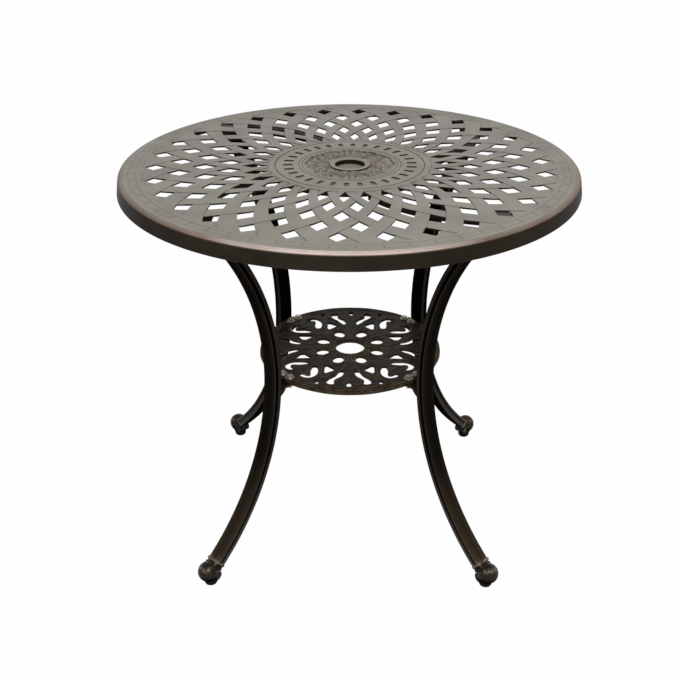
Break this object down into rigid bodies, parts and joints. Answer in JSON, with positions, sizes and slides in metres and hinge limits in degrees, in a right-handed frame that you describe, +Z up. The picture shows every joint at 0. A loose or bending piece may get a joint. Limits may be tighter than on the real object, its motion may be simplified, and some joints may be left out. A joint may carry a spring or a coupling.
{
  "type": "garden table",
  "caption": "Round garden table with a woven-lattice top, umbrella hole, bowed legs, pierced lower shelf and levelling scroll feet.",
  "frame": {"origin": "on the floor under the middle of the table top", "axes": "+Z up along the umbrella hole, legs on the diagonals between X and Y"},
  "size_m": [0.7996, 0.7995, 0.72],
  "materials": {
    "antique_bronze_top": "cast aluminium, satin antique bronze paint",
    "antique_bronze_frame": "cast aluminium, dark antique bronze paint",
    "zinc_plated_steel": "zinc plated",
    "black_plastic": "moulded"
  },
  "bodies": {
    "frame": {"top_casting": "antique_bronze_top", "lower_shelf": "antique_bronze_frame", "leg_back_right": "antique_bronze_frame", "leg_flange_back_right": "antique_bronze_frame", "shelf_bracket_back_right": "antique_bronze_frame", "scroll_foot_back_right": "antique_bronze_frame", "foot_insert_back_right": "zinc_plated_steel", "leg_back_left": "antique_bronze_frame", "leg_flange_back_left": "antique_bronze_frame", "shelf_bracket_back_left": "antique_bronze_frame", "scroll_foot_back_left": "antique_bronze_frame", "foot_insert_back_left": "zinc_plated_steel", "leg_front_left": "antique_bronze_frame", "leg_flange_front_left": "antique_bronze_frame", "shelf_bracket_front_left": "antique_bronze_frame", "scroll_foot_front_left": "antique_bronze_frame", "foot_insert_front_left": "zinc_plated_steel", "leg_front_right": "antique_bronze_frame", "leg_flange_front_right": "antique_bronze_frame", "shelf_bracket_front_right": "antique_bronze_frame", "scroll_foot_front_right": "antique_bronze_frame", "foot_insert_front_right": "zinc_plated_steel", "top_bolts": "zinc_plated_steel", "top_washers": "zinc_plated_steel", "shelf_bolts": "zinc_plated_steel", "shelf_washers": "zinc_plated_steel", "shelf_nuts": "zinc_plated_steel"},
    "plug": {"umbrella_hole_plug": "antique_bronze_top"},
    "glide_back_right": {"glide_pad_back_right": "black_plastic"},
    "stud_back_right": {"levelling_stud_back_right": "zinc_plated_steel"},
    "glide_back_left": {"glide_pad_back_left": "black_plastic"},
    "stud_back_left": {"levelling_stud_back_left": "zinc_plated_steel"},
    "glide_front_left": {"glide_pad_front_left": "black_plastic"},
    "stud_front_left": {"levelling_stud_front_left": "zinc_plated_steel"},
    "glide_front_right": {"glide_pad_front_right": "black_plastic"},
    "stud_front_right": {"levelling_stud_front_right": "zinc_plated_steel"}
  },
  "joints": [
    {"name": "plug_lift", "type": "slide", "parent": "frame", "child": "plug", "axis": [0, 0, 1], "range_m": [0, 0.03]},
    {"name": "glide_travel_back_right", "type": "slide", "parent": "frame", "child": "glide_back_right", "axis": [0, 0, -1], "range_m": [-0.002, 0.01]},
    {"name": "stud_turn_back_right", "type": "hinge", "parent": "glide_back_right", "child": "stud_back_right", "pos_m": [0.25244, 0.25244, 0.02], "axis": [0, 0, -1], "range_deg": [-756, 3060]},
    {"name": "glide_travel_back_left", "type": "slide", "parent": "frame", "child": "glide_back_left", "axis": [0, 0, -1], "range_m": [-0.002, 0.01]},
    {"name": "stud_turn_back_left", "type": "hinge", "parent": "glide_back_left", "child": "stud_back_left", "pos_m": [-0.25244, 0.25244, 0.02], "axis": [0, 0, -1], "range_deg": [-756, 3060]},
    {"name": "glide_travel_front_left", "type": "slide", "parent": "frame", "child": "glide_front_left", "axis": [0, 0, -1], "range_m": [-0.002, 0.01]},
    {"name": "stud_turn_front_left", "type": "hinge", "parent": "glide_front_left", "child": "stud_front_left", "pos_m": [-0.25244, -0.25244, 0.02], "axis": [0, 0, -1], "range_deg": [-756, 3060]},
    {"name": "glide_travel_front_right", "type": "slide", "parent": "frame", "child": "glide_front_right", "axis": [0, 0, -1], "range_m": [-0.002, 0.01]},
    {"name": "stud_turn_front_right", "type": "hinge", "parent": "glide_front_right", "child": "stud_front_right", "pos_m": [0.25244, -0.25244, 0.02], "axis": [0, 0, -1], "range_deg": [-756, 3060]}
  ],
  "couplings": [
    {"joint": "stud_turn_back_right", "follows": "glide_travel_back_right", "rad_per_m": 5026.5},
    {"joint": "stud_turn_back_left", "follows": "glide_travel_back_left", "rad_per_m": 5026.5},
    {"joint": "stud_turn_front_left", "follows": "glide_travel_front_left", "rad_per_m": 5026.5},
    {"joint": "stud_turn_front_right", "follows": "glide_travel_front_right", "rad_per_m": 5026.5}
  ]
}
